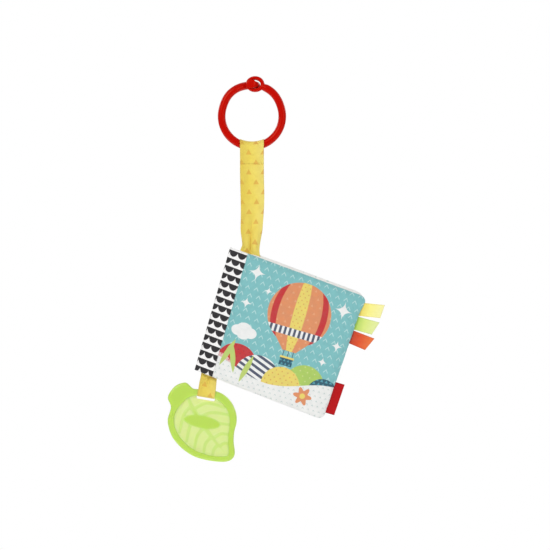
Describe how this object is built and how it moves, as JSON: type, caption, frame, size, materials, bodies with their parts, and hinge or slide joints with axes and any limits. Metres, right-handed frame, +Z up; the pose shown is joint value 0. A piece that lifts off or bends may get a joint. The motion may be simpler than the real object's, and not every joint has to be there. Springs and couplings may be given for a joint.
{
  "type": "crinkle cloth book",
  "caption": "Soft padded cloth book with crinkle leaves, hung from a snap ring on a strap, with satin tabs and a leaf-shaped teether.",
  "frame": {"origin": "the place inside the top of the ring, under its clasp, where a hook or bar holds it up", "axes": "+Z up as the toy hangs, +Y away from someone who looks at the front cover, +X to that person's right"},
  "size_m": [0.2059, 0.015, 0.3667],
  "materials": {
    "ring_red": "gloss",
    "strap_cotton": "matte",
    "cover_print": "matte",
    "spine_cotton": "matte",
    "lining_cotton": "matte",
    "wadding": "matte",
    "crinkle_film": "gloss",
    "page_print": "matte",
    "yellow_satin": "satin",
    "lime_satin": "satin",
    "orange_satin": "satin",
    "label_red": "matte",
    "leaf_green": "satin"
  },
  "bodies": {
    "ring": {"ring_eye_arm": "ring_red"},
    "peg_arm": {"ring_peg_arm": "ring_red"},
    "loop": {"strap_loop": "strap_cotton"},
    "strap": {"hang_strap": "strap_cotton"},
    "book": {"back_panel": "cover_print", "back_band": "spine_cotton", "back_lining": "lining_cotton", "back_wadding": "wadding", "back_crinkle_film": "crinkle_film", "spine_fold": "spine_cotton", "spine_seam": "lining_cotton"},
    "page": {"page_front": "page_print", "page_back": "page_print", "page_crinkle_film": "crinkle_film"},
    "front_cover": {"front_panel": "cover_print", "front_band": "spine_cotton", "front_lining": "lining_cotton", "front_wadding": "wadding", "front_crinkle_film": "crinkle_film"},
    "yellow_tab": {"yellow_ribbon": "yellow_satin"},
    "lime_tab": {"lime_ribbon": "lime_satin"},
    "orange_tab": {"orange_ribbon": "orange_satin"},
    "label_tab": {"side_label": "label_red"},
    "short_strap": {"teether_strap": "strap_cotton"},
    "leaf": {"leaf_teether": "leaf_green"}
  },
  "joints": [
    {"name": "ring_opens", "type": "hinge", "parent": "ring", "child": "peg_arm", "pos_m": [0, 0, -0.0516], "axis": [-1, 0, 0], "range_deg": [0, 14], "stiffness_Nm_per_rad": 0.1},
    {"name": "loop_slides", "type": "hinge", "parent": "ring", "child": "loop", "pos_m": [0, 0, -0.0228], "axis": [0, -1, 0], "range_deg": [-120, 120]},
    {"name": "strap_swings", "type": "hinge", "parent": "loop", "child": "strap", "pos_m": [0, 0, -0.0675], "axis": [1, 0, 0], "range_deg": [-80, 80]},
    {"name": "book_swings", "type": "hinge", "parent": "strap", "child": "book", "pos_m": [-0.0016, 0, -0.1535], "axis": [0.9379, 0, -0.3469], "range_deg": [-60, 60]},
    {"name": "page_turns", "type": "hinge", "parent": "book", "child": "page", "pos_m": [-0.03485, -0.00125, -0.20631], "axis": [-0.279, 0, -0.9603], "range_deg": [0, 135]},
    {"name": "front_cover_opens", "type": "hinge", "parent": "page", "child": "front_cover", "pos_m": [-0.03485, -0.00125, -0.20631], "axis": [-0.279, 0, -0.9603], "range_deg": [0, 165], "deforming": ["spine_fold"]},
    {"name": "yellow_ribbon_flaps", "type": "hinge", "parent": "front_cover", "child": "yellow_tab", "pos_m": [0.10386, -0.00425, -0.20631], "axis": [0.3256, 0, 0.9455], "range_deg": [-80, 80]},
    {"name": "lime_ribbon_flaps", "type": "hinge", "parent": "front_cover", "child": "lime_tab", "pos_m": [0.09932, -0.00425, -0.21947], "axis": [0.3256, 0, 0.9455], "range_deg": [-80, 80]},
    {"name": "orange_ribbon_flaps", "type": "hinge", "parent": "front_cover", "child": "orange_tab", "pos_m": [0.0948, -0.00425, -0.23263], "axis": [0.3256, 0, 0.9455], "range_deg": [-80, 80]},
    {"name": "side_label_flaps", "type": "hinge", "parent": "front_cover", "child": "label_tab", "pos_m": [0.07511, -0.00425, -0.28981], "axis": [0.3256, 0, 0.9455], "range_deg": [-80, 80]},
    {"name": "teether_strap_swings", "type": "hinge", "parent": "book", "child": "short_strap", "pos_m": [-0.04075, 0.00175, -0.26963], "axis": [0.932, 0, -0.3624], "range_deg": [-50, 50]},
    {"name": "teether_swings", "type": "hinge", "parent": "short_strap", "child": "leaf", "pos_m": [-0.04315, 0.00175, -0.28583], "axis": [0.9863, 0, -0.165], "range_deg": [-30, 30]}
  ]
}
